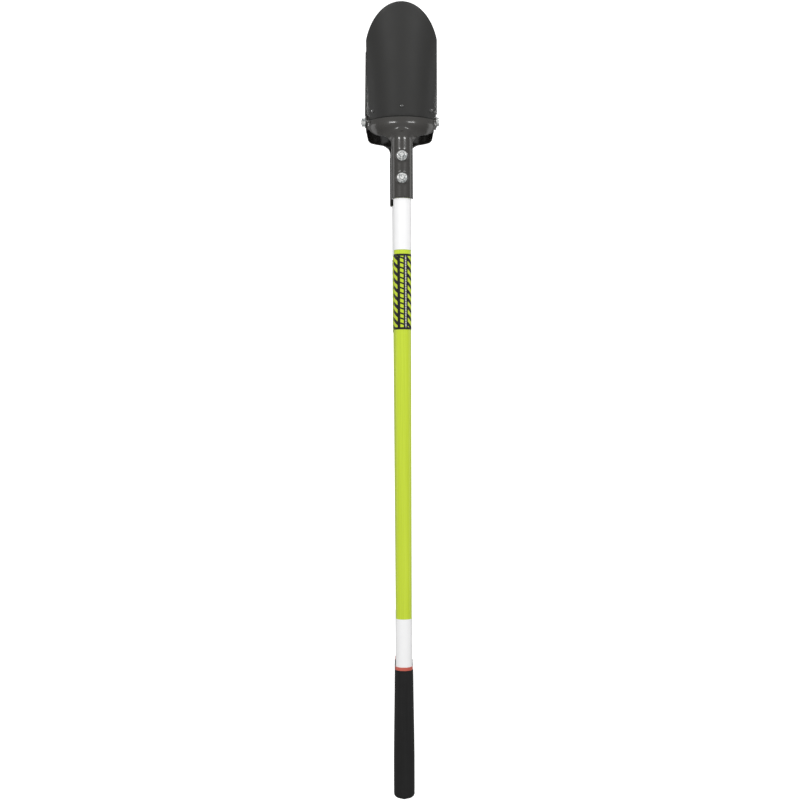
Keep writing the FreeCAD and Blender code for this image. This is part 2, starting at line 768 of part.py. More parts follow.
def pivot(side):
    """Add one side's hinge fasteners; both bolts point towards -X."""
    name = "right" if side > 0 else "left"
    inner_seat = f"({BUSHING_START} - pivot_washer_wall)"
    outer_seat = f"({BUSHING_END} + pivot_washer_wall)"
    head_seat = outer_seat if side > 0 else f"-{inner_seat}"
    nut_seat = inner_seat if side > 0 else f"-{outer_seat}"
    length = f"{outer_seat} - {inner_seat} + pivot_nut_height + pivot_bolt_tip"
    inner = "bolt_radius + thread_clearance"
    screw = facing(bolt(f"{name}_screw", "pivot_head_height", length), TO_MINUS_X, x=head_seat)
    fastener = facing(nut(f"{name}_fastener", "pivot_nut_height"), TO_MINUS_X, x=nut_seat)
    start = BUSHING_START if side > 0 else f"-{BUSHING_END}"
    tube = ring(f"{name}_tube", inner, "bushing_radius", "0", f"{BUSHING_END} - {BUSHING_START}")
    facing(tube, TO_PLUS_X, x=start)
    washers = []
    for i, seat in enumerate((f"{BUSHING_START} - pivot_washer_wall", BUSHING_END)):
        low = seat if side > 0 else f"-({seat}) - pivot_washer_wall"
        washer = ring(f"{name}_washer_{i}", inner, "pivot_washer_radius", "0", "pivot_washer_wall")
        washers.append(facing(washer, TO_PLUS_X, x=low))
    subpart(screw, f"{name}_pivot_bolt")
    subpart(fastener, f"{name}_pivot_nut")
    subpart(tube, f"{name}_pivot_bushing")
    subpart(combine("Part::Compound", f"{name}_washer_pair", *washers), f"{name}_pivot_washers")


# ---- assembly -------------------------------------------------------------------------------

def both_halves(item, label):
    """Register a front piece, a shift to the right, and its mirror image, a shift to the left."""
    rear = mirror(f"{item.Name}_mirrored", item)
    subpart(bind(item, x=HALF_SHIFT), f"front_{label}")
    subpart(bind(rear, x=f"-2 * {HALF_SHIFT}"), f"rear_{label}")


def leaning(item, label, axis, shift):
    """Register a piece of a handle, turned about an axis along Y and shifted sideways."""
    whole = combine("Part::Compound", f"{label}_leaning", item)
    whole.Placement = Placement(Vector(), Rotation(axis, 1))
    whole.setExpression("Placement.Rotation.Angle", in_sheet("handle_lean"))
    subpart(bind(whole, x=shift), label)


def both_handles(item, label):
    """Register a piece of each handle; below the bolts, the handles lean in to the middle."""
    rear = mirror(f"{item.Name}_mirrored", item)
    shift = f"{HALF_SHIFT} + (upper_bolt_drop + lower_bolt_drop) / 2 * sin(handle_lean)"
    leaning(item, f"front_{label}", Vector(0, 1, 0), shift)
    leaning(rear, f"rear_{label}", Vector(0, -1, 0), f"-({shift})")


both_halves(blade(), "blade")
both_halves(combine("Part::Compound", "blade_rivets", *[rivet(i, *p) for i, p in enumerate(places)]),
            "blade_rivets")

front_blank = frame_blank("front", "skirt_drop", "(blade_half_width - skirt_trim)", "0",
                          "front_skirt_corner", "front_neck_radius")
rear_blank = frame_blank("rear", "rear_skirt_drop", "(blade_half_width - rear_skirt_trim)",
                         "rear_skirt_lean", "rear_skirt_corner", "rear_neck_radius")
front_pressing = frame("front", front_blank, heel_side=-1)
rear_pressing = frame("rear", rear_blank, heel_side=1)
subpart(bind(front_pressing, x=HALF_SHIFT), "front_frame")
subpart(bind(mirror("rear_frame_mirrored", rear_pressing), x=f"-{HALF_SHIFT}"), "rear_frame")

both_handles(handle(), "handle")
both_handles(cross_drilled(plug("handle_core", HANDLE_TOP, f"{HANDLE_TOP} + core_length")), "handle_core")
both_handles(plug("end_plug", f"{HANDLE_BOTTOM} - end_plug_length", HANDLE_BOTTOM), "end_plug")
both_handles(sleeve("upper_band", UPPER_BAND_TOP, UPPER_BAND_BOTTOM, "tape_clearance", "tape_wall"),
             "upper_reflective_band")
both_handles(sleeve("lower_band", LOWER_BAND_TOP, LOWER_BAND_BOTTOM, "tape_clearance", "tape_wall"),
             "lower_reflective_band")
both_handles(sleeve("grip_ring", LOWER_BAND_BOTTOM, RING_BOTTOM, "tape_clearance", "ring_wall"),
             "grip_ring")
both_handles(grip(), "grip")

label = sleeve("label", LABEL_TOP, f"{LABEL_TOP} + label_length", "tape_clearance", "tape_wall",
               angle="2 * label_half_angle")
label.Placement = Placement(Vector(), Rotation(Vector(0, 0, 1), -90))
both_handles(on_handle(label), "label")

for items, label_name in zip(handle_bolt_set(), ("handle_bolts", "handle_nuts", "handle_saddles")):
    both_halves(items, label_name)

for side in SIDES:
    pivot(side)


# ---- checking and writing -------------------------------------------------------------------

doc.recompute()
broken = [o.Name for o in doc.Objects if {"Invalid", "Error"} & set(o.State)]
broken += [i.Label for i in SUBPARTS if i.Shape.isNull() or not i.Shape.isValid() or not i.Shape.Solids]
if broken:
    raise RuntimeError(f"these objects did not build: {broken}")

os.makedirs("parts", exist_ok=True)
for item in SUBPARTS:
    item.Shape.exportStep(f"parts/{item.Label}.step")
    print(f"{item.Label}: {len(item.Shape.Solids)} solids, {item.Shape.Volume / 1000:.2f} cm3")
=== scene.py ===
# %% [markdown]
# # A two-handled clamshell digger
# The tool is two round-point blades riveted to stamped steel frames. The frames are hinged on a
# bolt at each side and bolted to long fibreglass handles with cushion grips. The engineering
# shapes arrive as fixed nodes of a mechanical model. Each step of this lesson gives a piece its
# finish, or rebuilds it with the softer edges that pressing, moulding or threading leaves.

import json
import math

import bmesh
import bpy
from mathutils import Matrix, Vector


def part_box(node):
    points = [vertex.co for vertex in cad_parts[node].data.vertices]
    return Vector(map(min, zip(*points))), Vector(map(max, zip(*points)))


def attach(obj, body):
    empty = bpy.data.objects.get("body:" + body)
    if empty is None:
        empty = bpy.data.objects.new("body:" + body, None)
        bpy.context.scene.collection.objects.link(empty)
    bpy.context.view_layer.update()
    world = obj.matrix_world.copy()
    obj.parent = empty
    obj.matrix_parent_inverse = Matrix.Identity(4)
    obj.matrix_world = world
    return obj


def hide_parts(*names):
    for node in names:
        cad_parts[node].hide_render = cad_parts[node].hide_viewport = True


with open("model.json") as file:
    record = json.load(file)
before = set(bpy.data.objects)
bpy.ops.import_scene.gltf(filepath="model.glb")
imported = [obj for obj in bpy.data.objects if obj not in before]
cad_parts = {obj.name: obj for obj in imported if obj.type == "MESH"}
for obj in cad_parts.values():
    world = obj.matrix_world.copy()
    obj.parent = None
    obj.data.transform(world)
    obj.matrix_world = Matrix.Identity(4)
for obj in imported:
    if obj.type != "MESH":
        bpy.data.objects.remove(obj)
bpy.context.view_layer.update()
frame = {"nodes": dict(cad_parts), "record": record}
nodes = frame["nodes"]
MM = 0.001
HALVES = ("front", "rear")

# %% [markdown]
# ## Camera
# The tool is seen square on from in front, from about two and a half metres, with the lens level
# with the middle of its length. From there the head is seen a little from below, and the rear
# half shows as a strip beside the left of the front one, because the halves stand one ear apart.
# A long lens keeps the handles straight. The slight roll is the lean at which the tool hangs.

# %% Camera
VIEW_DISTANCE = 2.45
VIEW_DROP = 0.528
VIEW_SIDE = -0.0046
VIEW_TURN = math.radians(-0.4)
VIEW_ROLL = math.radians(-0.31)
LENS = 58.0
SENSOR = 36.0

camera = bpy.data.objects.new("camera", bpy.data.cameras.new("camera"))
camera.data.lens = LENS
camera.data.sensor_width = SENSOR
camera.data.dof.use_dof = False
eye = Vector((VIEW_SIDE - VIEW_DISTANCE * math.sin(VIEW_TURN),
              -VIEW_DISTANCE * math.cos(VIEW_TURN), -VIEW_DROP))
aim = Matrix.Rotation(-VIEW_TURN, 4, "Z") @ Matrix.Rotation(math.pi / 2, 4, "X")
camera.matrix_world = Matrix.Translation(eye) @ aim @ Matrix.Rotation(VIEW_ROLL, 4, "Z")
bpy.context.scene.collection.objects.link(camera)
bpy.context.scene.camera = camera
print("camera at", [round(c, 3) for c in eye])

# %% [markdown]
# ## Materials: the small tools
# Every finish is a Principled BSDF fed by a few textures. A short builder keeps the node code
# readable: `Finish` makes a material, adds nodes, and links them. Uniform values are set on the
# shader's own sockets. Only what varies over the surface is linked.

# %% Material builder
class Finish:
    """A material with a Principled shader, and short ways to add and link nodes."""

    def __init__(self, name, colour, roughness, **sockets):
        self.material = bpy.data.materials.new(name)
        self.material.use_nodes = True
        self.tree = self.material.node_tree
        self.shader = self.tree.nodes["Principled BSDF"]
        self.shader.inputs["Base Color"].default_value = (*colour, 1)
        self.shader.inputs["Roughness"].default_value = roughness
        for key, number in sockets.items():
            self.shader.inputs[key.replace("_", " ").title().replace("Ior", "IOR")].default_value = number
        self.coordinates = self.add("ShaderNodeTexCoord")

    def add(self, kind, links=None, **settings):
        return add_node(self.tree, kind, links, **settings)

    def group(self, tree, **values):
        node = self.tree.nodes.new("ShaderNodeGroup")
        node.node_tree = tree
        for key, number in values.items():
            self.feed(node.inputs[key.replace("_", " ").title()], number)
        return node

    def feed(self, socket, source):
        feed(self.tree, socket, source)

    def place(self, scale=(1, 1, 1), turn=(0, 0, 0)):
        """Object coordinates, stretched and turned."""
        mapping = self.add("ShaderNodeMapping", {"Vector": self.coordinates.outputs["Object"]})
        mapping.inputs["Scale"].default_value = scale
        mapping.inputs["Rotation"].default_value = turn
        return mapping.outputs["Vector"]

    def to(self, socket, source):
        self.feed(self.shader.inputs[socket], source)

    def bump(self, height, distance, strength=1.0):
        node = self.add("ShaderNodeBump", {"Height": height})
        node.inputs["Strength"].default_value = strength
        node.inputs["Distance"].default_value = distance
        self.to("Normal", node.outputs["Normal"])


def feed(tree, socket, source):
    """Link a socket to an output, or set its value."""
    if isinstance(source, bpy.types.NodeSocket):
        tree.links.new(source, socket)
    elif isinstance(source, tuple) and len(source) == 3 and socket.type == "RGBA":
        socket.default_value = (*source, 1)
    else:
        socket.default_value = source


def add_node(tree, kind, links=None, **settings):
    """Add a node; links name its inputs by name or number, settings are its own properties."""
    node = tree.nodes.new(kind)
    for key, setting in settings.items():
        setattr(node, key, setting)
    for key, source in (links or {}).items():
        feed(tree, node.inputs[key], source)
    return node


def maths(tree, operation, *sources, clamp=False):
    """Add a Math node and return its output."""
    node = add_node(tree, "ShaderNodeMath", dict(enumerate(sources)), operation=operation, use_clamp=clamp)
    return node.outputs[0]


def ramp(tree, source, *stops, interpolation="LINEAR"):
    """Add a colour ramp with (place, grey or colour) stops and return its colour output."""
    node = add_node(tree, "ShaderNodeValToRGB", {"Fac": source})
    node.color_ramp.interpolation = interpolation
    elements = node.color_ramp.elements
    while len(elements) < len(stops):
        elements.new(0.5)
    for element, (place, shade) in zip(elements, stops):
        element.position = place
        element.color = (*shade, 1) if isinstance(shade, tuple) else (shade, shade, shade, 1)
    return node.outputs["Color"]


def blend_colour(tree, factor, low, high):
    """Mix two colours and return the result."""
    node = tree.nodes.new("ShaderNodeMix")
    node.data_type = "RGBA"
    for socket, source in ((node.inputs["Factor"], factor), (node.inputs[6], low), (node.inputs[7], high)):
        feed(tree, socket, source)
    return node.outputs[2]


print("builder ready")

# %% [markdown]
# ## Shared effects
# Three effects return on several finishes, so each is one node group. **Orange peel** is the fine
# unevenness of powder coat and moulded vinyl. **Handling marks** are the soft blotches and fine
# scratches that keep a coat from looking perfectly even. **Fibre streaks** run along the handle,
# where glass strands lie under the resin.

# %% Shared node groups
def new_group(name, inputs, outputs):
    tree = bpy.data.node_groups.new(name, "ShaderNodeTree")
    for key, kind, start in inputs:
        socket = tree.interface.new_socket(key, in_out="INPUT", socket_type=kind)
        if start is not None:
            socket.default_value = start
    for key in outputs:
        tree.interface.new_socket(key, in_out="OUTPUT", socket_type="NodeSocketFloat")
    entry = tree.nodes.new("NodeGroupInput")
    exit_node = tree.nodes.new("NodeGroupOutput")
    return tree, entry.outputs, exit_node.inputs


def noise(tree, vector, scale, detail=3.0, roughness=0.5):
    node = add_node(tree, "ShaderNodeTexNoise", {"Vector": vector, "Scale": scale, "Detail": detail,
                                                 "Roughness": roughness})
    return node.outputs["Fac"]


def orange_peel_group():
    tree, given, gives = new_group("orange_peel", [("Vector", "NodeSocketVector", None),
                                                   ("Scale", "NodeSocketFloat", 900.0)], ["Height"])
    coarse = noise(tree, given["Vector"], given["Scale"], 2.0)
    fine = noise(tree, given["Vector"], maths(tree, "MULTIPLY", given["Scale"], 3.7), 2.0)
    feed(tree, gives["Height"], maths(tree, "ADD", maths(tree, "MULTIPLY", coarse, 0.7),
                                      maths(tree, "MULTIPLY", fine, 0.3)))
    return tree


def handling_marks_group():
    tree, given, gives = new_group("handling_marks", [("Vector", "NodeSocketVector", None)],
                                   ["Blotches", "Scratches"])
    soft = noise(tree, given["Vector"], 22.0, 5.0, 0.6)
    feed(tree, gives["Blotches"], ramp(tree, soft, (0.35, 0.0), (0.7, 1.0)))
    fields = []
    for turn, stretch in ((0.5, 9.0), (1.9, 13.0), (2.6, 7.0)):
        mapping = add_node(tree, "ShaderNodeMapping", {"Vector": given["Vector"]})
        mapping.inputs["Rotation"].default_value = (0.3, turn, 0.2)
        mapping.inputs["Scale"].default_value = (40.0, 40.0, 40.0 * stretch)
        line = noise(tree, mapping.outputs["Vector"], 1.0, 2.0, 0.4)
        fields.append(ramp(tree, line, (0.68, 0.0), (0.72, 1.0)))
    total = maths(tree, "ADD", maths(tree, "ADD", fields[0], fields[1]), fields[2], clamp=True)
    rare = ramp(tree, noise(tree, given["Vector"], 30.0, 2.0), (0.5, 0.0), (0.62, 1.0))
    feed(tree, gives["Scratches"], maths(tree, "MULTIPLY", total, rare))
    return tree


def fibre_streaks_group():
    tree, given, gives = new_group("fibre_streaks", [("Vector", "NodeSocketVector", None)], ["Streaks"])
    mapping = add_node(tree, "ShaderNodeMapping", {"Vector": given["Vector"]})
    mapping.inputs["Scale"].default_value = (900.0, 900.0, 9.0)
    broad = add_node(tree, "ShaderNodeMapping", {"Vector": given["Vector"]})
    broad.inputs["Scale"].default_value = (160.0, 160.0, 2.0)
    fine = noise(tree, mapping.outputs["Vector"], 1.0, 3.0)
    wide = noise(tree, broad.outputs["Vector"], 1.0, 2.0)
    feed(tree, gives["Streaks"], maths(tree, "ADD", maths(tree, "MULTIPLY", fine, 0.6),
                                       maths(tree, "MULTIPLY", wide, 0.4)))
    return tree


ORANGE_PEEL = orange_peel_group()
HANDLING_MARKS = handling_marks_group()
FIBRE_STREAKS = fibre_streaks_group()
print("groups:", [g.name for g in (ORANGE_PEEL, HANDLING_MARKS, FIBRE_STREAKS)])

# %% [markdown]
# ## Powder-coated steel
# Blades and frames wear the same charcoal powder coat. The blade's is satin and the frame's is
# thicker and glossier. A coat is not metallic: it is a dark dielectric with a soft reflection, so
# the colour stays low and the light comes from gloss. Orange peel breaks up the reflection, and
# the marks group lightens a few handled places and scratches. Where the blade's lower rim sits on
# the frame, both coats are painted near black in a narrow band at that height: painted shade for
# the shadow in the seam, with no clear coat there.

# %% Powder coat
SEAM_HALF_HEIGHT = 1.1 * MM
SEAM_HALF_WIDTH = 60 * MM
# Colour of the painted shade in the seam between blade and frame.
SEAM_SHADE_COLOUR = (0.004, 0.004, 0.0035)


def seam_shade_mask(finish):
    """One in the seam between blade and frame, where shade is painted, and nought elsewhere."""
    tree = finish.tree
    split = add_node(tree, "ShaderNodeSeparateXYZ", {"Vector": finish.coordinates.outputs["Object"]})
    near = maths(tree, "LESS_THAN", maths(tree, "ABSOLUTE", split.outputs["Z"]), SEAM_HALF_HEIGHT)
    between = maths(tree, "LESS_THAN", maths(tree, "ABSOLUTE", split.outputs["X"]), SEAM_HALF_WIDTH)
    return maths(tree, "MULTIPLY", near, between)


def powder_coat(name, colour, roughness, worn, specular, coat, peel):
    finish = Finish(name, colour, roughness, specular_ior_level=specular, coat_roughness=0.11)
    place = finish.place()
    marks = finish.group(HANDLING_MARKS, vector=place)
    tree = finish.tree
    tint = blend_colour(tree, maths(tree, "MULTIPLY", marks.outputs["Blotches"], 0.35), colour, worn)
    scratched = maths(tree, "MULTIPLY", marks.outputs["Scratches"], 0.15)
    coated = blend_colour(tree, scratched, tint, tuple(2.5 * c for c in worn))
    seam_shade = seam_shade_mask(finish)
    # Painted shade: the seam band between blade and frame is coloured near black.
    finish.to("Base Color", blend_colour(tree, seam_shade, coated, SEAM_SHADE_COLOUR))
    finish.to("Coat Weight", maths(tree, "MULTIPLY_ADD", seam_shade, -coat, coat))
    spread = maths(tree, "MULTIPLY_ADD", marks.outputs["Blotches"], 0.1, roughness - 0.05)
    scuffs = maths(tree, "MULTIPLY", marks.outputs["Scratches"], 0.12)
    finish.to("Roughness", maths(tree, "ADD", spread, scuffs))
    skin = finish.group(ORANGE_PEEL, vector=place, scale=peel)
    finish.bump(skin.outputs["Height"], 0.00005, 0.35)
    return finish.material


# name: colour, roughness, worn colour, specular level, coat weight, scale of the orange peel
COATS = {
    "blade_paint": ((0.015, 0.015, 0.0142), 0.5, (0.019, 0.019, 0.018), 0.3, 0.0, 700.0),
    "frame_paint": ((0.019, 0.0174, 0.0148), 0.26, (0.023, 0.021, 0.018), 0.3, 0.6, 420.0),
    "rivet_paint": ((0.010, 0.010, 0.0095), 0.25, (0.02, 0.02, 0.019), 0.5, 0.5, 900.0),
}
MATERIALS = {name: powder_coat(name, *look) for name, look in COATS.items()}
print("coats:", list(MATERIALS))

# %% [markdown]
# ## Handles, tape, label and grips
# The handle is pultruded fibreglass, pigmented lime all through, with long streaks where the
# strands lie. The reflective bands are white tape with a fine prism pattern under a clear skin.
# The label is printed film: a black panel between two rows of slanted hazard stripes, with plain
# slanted blocks and dashes where print would run. The grip is black cushion vinyl, matt with
# long mould marks.

# %% Handle finish
LIME = (0.475, 0.60, 0.022)
SOCKET_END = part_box("front_frame")[0][2]
# Colour of the painted shade on the handle's end inside the socket.
SOCKET_SHADE_COLOUR = (0.012, 0.013, 0.008)


def lime_fibreglass():
    """Lime all through; the end inside the socket is painted near black, as painted shade in the socket."""
    finish = Finish("handle_lime", LIME, 0.34, specular_ior_level=0.35, coat_weight=0.1, coat_roughness=0.1)
    streaks = finish.group(FIBRE_STREAKS, vector=finish.place()).outputs["Streaks"]
    tree = finish.tree
    shade = ramp(tree, streaks, (0.3, (0.42, 0.54, 0.016)), (0.5, LIME), (0.72, (0.53, 0.66, 0.035)))
    split = add_node(tree, "ShaderNodeSeparateXYZ", {"Vector": finish.coordinates.outputs["Object"]})
    # Painted shade: above the socket's lower end the handle is coloured near black.
    in_socket_shade = maths(tree, "GREATER_THAN", split.outputs["Z"], SOCKET_END)
    finish.to("Base Color", blend_colour(tree, in_socket_shade, shade, SOCKET_SHADE_COLOUR))
    finish.to("Roughness", maths(tree, "MULTIPLY_ADD", streaks, 0.2, 0.2))
    finish.bump(streaks, 0.00003, 0.6)
    return finish.material


MATERIALS["handle_lime"] = lime_fibreglass()
print("handle finish ready")

# %% Tape, ring, core and saddle finishes
def around(finish, half, node):
    """Angle round a handle, about the middle of a node on it, and the height."""
    tree = finish.tree
    handle_low, handle_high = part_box(f"{half}_handle")
    low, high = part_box(node)
    split = add_node(tree, "ShaderNodeSeparateXYZ", {"Vector": finish.coordinates.outputs["Object"]})
    across = maths(tree, "SUBTRACT", split.outputs["X"], (low[0] + high[0]) / 2)
    deep = maths(tree, "SUBTRACT", split.outputs["Y"], (handle_low[1] + handle_high[1]) / 2)
    out = 1.0 if half == "rear" else -1.0
    return maths(tree, "ARCTAN2", across, maths(tree, "MULTIPLY", deep, out)), split.outputs["Z"]


PRISM_COLUMNS = 26.0
PRISM_ROWS = 1700.0


def reflective_tape(half):
    finish = Finish(f"{half}_reflective_white", (0.80, 0.80, 0.80), 0.36,
                    coat_weight=0.2, coat_roughness=0.08)
    tree = finish.tree
    turn, height = around(finish, half, f"{half}_upper_reflective_band")
    step = maths(tree, "MULTIPLY", turn, PRISM_COLUMNS)
    rise = maths(tree, "MULTIPLY", height, PRISM_ROWS)
    first = maths(tree, "PINGPONG", maths(tree, "ADD", step, rise), 1.0)
    second = maths(tree, "PINGPONG", maths(tree, "SUBTRACT", step, rise), 1.0)
    cells = maths(tree, "MULTIPLY", first, second)
    grain = noise(tree, finish.place(), 60.0, 3.0)
    tone = maths(tree, "MULTIPLY_ADD", grain, 0.35, maths(tree, "MULTIPLY", cells, 0.75), clamp=True)
    finish.to("Base Color", ramp(tree, tone, (0.1, (0.76, 0.76, 0.765)), (0.75, (0.86, 0.86, 0.86))))
    finish.to("Roughness", maths(tree, "MULTIPLY_ADD", cells, -0.15, 0.42))
    finish.bump(cells, 0.00004, 0.4)
    return finish.material


def moulded(name, colour, lighter, roughness, scale, depth):
    """A plain moulded finish: slight mottling and a fine grain."""
    finish = Finish(name, colour, roughness)
    tree = finish.tree
    place = finish.place()
    mottle = noise(tree, place, 45.0, 4.0)
    finish.to("Base Color", ramp(tree, mottle, (0.3, colour), (0.75, lighter)))
    finish.to("Roughness", maths(tree, "MULTIPLY_ADD", mottle, 0.16, roughness - 0.08))
    skin = finish.group(ORANGE_PEEL, vector=place, scale=scale)
    finish.bump(skin.outputs["Height"], depth, 0.5)
    return finish.material


for half in HALVES:
    MATERIALS[f"{half}_reflective_white"] = reflective_tape(half)
# name: colour, lighter colour, roughness, scale and depth of the grain
PLASTICS = {
    "ring_red": ((0.44, 0.070, 0.045), (0.53, 0.10, 0.065), 0.42, 1500.0, 0.00004),
    "core_plastic": ((0.30, 0.30, 0.28), (0.38, 0.38, 0.36), 0.6, 600.0, 0.0001),
    "saddle_plastic": ((0.03, 0.03, 0.03), (0.045, 0.045, 0.045), 0.5, 800.0, 0.00008),
}
for name, look in PLASTICS.items():
    MATERIALS[name] = moulded(name, *look)
print("tape, ring and plastics ready")

# %% Label film
PANEL_HALF_ANGLE = 0.62
STRIPE_PITCH = 0.0150
STRIPE_SLANT = 0.0125
BLOCK_PITCH = 0.0094
BLOCK_SLANT = 0.006
DASH_PITCH = 0.0046
BORDER = 0.004
BLACK = (0.0055, 0.0055, 0.006)
DASH_GREY = (0.52, 0.52, 0.52)


def label_film(half):
    """Printed film: the pattern follows the angle round the handle and the height along it."""
    finish = Finish(f"{half}_label_film", BLACK, 0.36, specular_ior_level=0.25)
    tree = finish.tree
    turn, height = around(finish, half, f"{half}_label")
    low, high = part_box(f"{half}_label")
    above = maths(tree, "SUBTRACT", height, low[2] + BORDER)
    under = maths(tree, "SUBTRACT", high[2] - BORDER, height)
    inside = maths(tree, "GREATER_THAN", maths(tree, "MINIMUM", above, under), 0.0)

    def slanted(pitch, slant, share):
        leaning = maths(tree, "MULTIPLY_ADD", turn, slant, height)
        wave = maths(tree, "FRACT", maths(tree, "DIVIDE", leaning, pitch))
        return maths(tree, "LESS_THAN", wave, share)

    def column(centre, half_angle):
        offset = maths(tree, "ABSOLUTE", maths(tree, "SUBTRACT", turn, centre))
        return maths(tree, "MULTIPLY", maths(tree, "LESS_THAN", offset, half_angle), inside)

    away = maths(tree, "GREATER_THAN", maths(tree, "ABSOLUTE", turn), PANEL_HALF_ANGLE)
    stripes = slanted(STRIPE_PITCH, STRIPE_SLANT, 0.5)
    hazard = maths(tree, "MULTIPLY", stripes, maths(tree, "MULTIPLY", away, inside))
    base = blend_colour(tree, hazard, BLACK, LIME)
    blocks = maths(tree, "MULTIPLY", slanted(BLOCK_PITCH, BLOCK_SLANT, 0.66), column(-0.08, 0.19))
    base = blend_colour(tree, blocks, base, LIME)
    dashes = maths(tree, "MULTIPLY", slanted(DASH_PITCH, 0.0, 0.78), column(0.37, 0.07))
    base = blend_colour(tree, dashes, base, DASH_GREY)
    finish.to("Base Color", base)
    grain = noise(tree, finish.place(), 500.0, 2.0)
    finish.to("Roughness", maths(tree, "MULTIPLY_ADD", grain, 0.12, 0.3))
    finish.bump(grain, 0.00002, 0.5)
    return finish.material


for half in HALVES:
    MATERIALS[f"{half}_label_film"] = label_film(half)
print("label stripes every", STRIPE_PITCH / MM, "mm")

# %% Grip vinyl
def cushion_vinyl():
    finish = Finish("grip_black", (0.0095, 0.0095, 0.0095), 0.52, specular_ior_level=0.16)
    tree = finish.tree
    place = finish.place()
    long_marks = noise(tree, finish.place((260.0, 260.0, 6.0)), 1.0, 3.0)
    mottle = noise(tree, place, 60.0, 4.0)
    mixed = maths(tree, "ADD", maths(tree, "MULTIPLY", long_marks, 0.6), maths(tree, "MULTIPLY", mottle, 0.4))
    finish.to("Base Color", ramp(tree, mixed, (0.35, (0.0075, 0.0075, 0.0075)),
                                 (0.7, (0.0115, 0.0115, 0.0116))))
    finish.to("Roughness", maths(tree, "MULTIPLY_ADD", mixed, 0.2, 0.42))
    skin = finish.group(ORANGE_PEEL, vector=place, scale=1300.0)
    finish.bump(maths(tree, "ADD", skin.outputs["Height"], maths(tree, "MULTIPLY", long_marks, 0.8)),
                0.00007, 0.6)
    return finish.material


MATERIALS["grip_black"] = cushion_vinyl()
print("grip finish ready")

# %% [markdown]
# ## Zinc-plated steel
# Nuts, bolts and washers are bright zinc: a true metal with a slightly blue, cloudy plating. Two
# noises vary its tone and gloss, and very fine turning marks catch the light.

# %% Zinc
def zinc_plate():
    finish = Finish("zinc_steel", (0.56, 0.575, 0.57), 0.24, metallic=1.0)
    tree = finish.tree
    place = finish.place()
    cloud = noise(tree, place, 240.0, 5.0, 0.6)
    marks = finish.group(HANDLING_MARKS, vector=finish.place((5.0, 5.0, 5.0)))
    finish.to("Base Color", ramp(tree, cloud, (0.36, (0.22, 0.24, 0.24)), (0.5, (0.56, 0.575, 0.57)),
                                 (0.66, (0.82, 0.82, 0.80))))
    finish.to("Roughness", maths(tree, "MULTIPLY_ADD", cloud, 0.3,
                                 maths(tree, "MULTIPLY_ADD", marks.outputs["Scratches"], 0.2, 0.06)))
    finish.bump(noise(tree, place, 1800.0, 2.0), 0.00004, 0.5)
    return finish.material


MATERIALS["zinc_steel"] = zinc_plate()
print("zinc ready")

# %% [markdown]
# ## Dressing the nodes
# The record says which finish each node wears. Tape and label have one material per half, because
# their pattern is measured round that half's own handle. Each node keeps its mesh and takes a
# material in its slot.

# %% Dress the nodes
SLOTS = {s["node"]: s["material_slot"] for s in frame["record"]["subparts"]}


def finish_for(node):
    """Return the material of a node, by its slot or by its half and slot."""
    slot = SLOTS[node]
    return MATERIALS.get(slot) or MATERIALS[f"{node.split('_')[0]}_{slot}"]


for name, node in nodes.items():
    node.data.materials.clear()
    node.data.materials.append(finish_for(name))
print("dressed", len(nodes), "nodes")

# %% [markdown]
# ## Pieces that stand for nodes
# A rebuilt piece needs the same three things each time: its finish, picked by its node's slot, its
# body and the node that it stands for. One helper does them, and another smooths the shading up to
# an angle, as the Shade Auto Smooth command does.

# %% Adding a piece
SHARP = math.radians(35)
MERGE_DISTANCE = 0.002 * MM
SLIVER = 0.001 * MM


def body_of_node(node):
    return next(name for name, members in frame["record"]["behaviour"]["bodies"].items() if node in members)


def link_mesh(bm, name):
    """Turn a bmesh into an object at the origin."""
    mesh = bpy.data.meshes.new(name)
    bm.to_mesh(mesh)
    bm.free()
    item = bpy.data.objects.new(name, mesh)
    bpy.context.scene.collection.objects.link(item)
    return item


def stand_for(item, node):
    """Give a piece the finish and body of a node, and let it stand for the node."""
    item.data.materials.clear()
    item.data.materials.append(finish_for(node))
    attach(item, body_of_node(node))
    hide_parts(node)
    item.data.update()
    print(item.name, len(item.data.polygons), "faces for", node)


def smooth_by_angle(bm, angle=SHARP):
    """Shade smooth and mark as sharp the edges past an angle."""
    for face in bm.faces:
        face.smooth = True
    for edge in bm.edges:
        edge.smooth = not edge.is_manifold or edge.calc_face_angle(0.0) < angle


def merged_copy(node):
    """Return a bmesh copy of a node with its loose triangles joined."""
    bm = bmesh.new()
    bm.from_mesh(nodes[node].data)
    bmesh.ops.remove_doubles(bm, verts=bm.verts, dist=MERGE_DISTANCE)
    bmesh.ops.dissolve_degenerate(bm, edges=bm.edges, dist=SLIVER)
    return bm


print("helpers ready")

# %% [markdown]
# ## Blades
# A blade is sheet steel, sheared to a round point, rolled and then painted. Shearing leaves a
# small radius that the coat rounds further, and that soft edge is what the eye catches. The
# copy of the node is joined up and its sharp edges are beveled, which keeps the sheet's true
# curve. A boolean or a remesh would ripple such a large smooth surface.

# %% Blades
BLADE_EDGE_RADIUS = 0.45 * MM
BLADE_EDGE_SEGMENTS = 2
BLADE_SHARP = math.radians(50)


def soften_sharp_edges(bm, radius, segments, angle):
    sharp = [e for e in bm.edges if e.is_manifold and e.calc_face_angle(0.0) > angle]
    bmesh.ops.bevel(bm, geom=sharp, offset=radius, offset_type="OFFSET", affect="EDGES",
                    segments=segments, profile=0.5, material=-1, clamp_overlap=True)


for half in HALVES:
    bm = merged_copy(f"{half}_blade")
    soften_sharp_edges(bm, BLADE_EDGE_RADIUS, BLADE_EDGE_SEGMENTS, BLADE_SHARP)
    smooth_by_angle(bm)
    stand_for(link_mesh(bm, f"{half}_blade_coated"), f"{half}_blade")

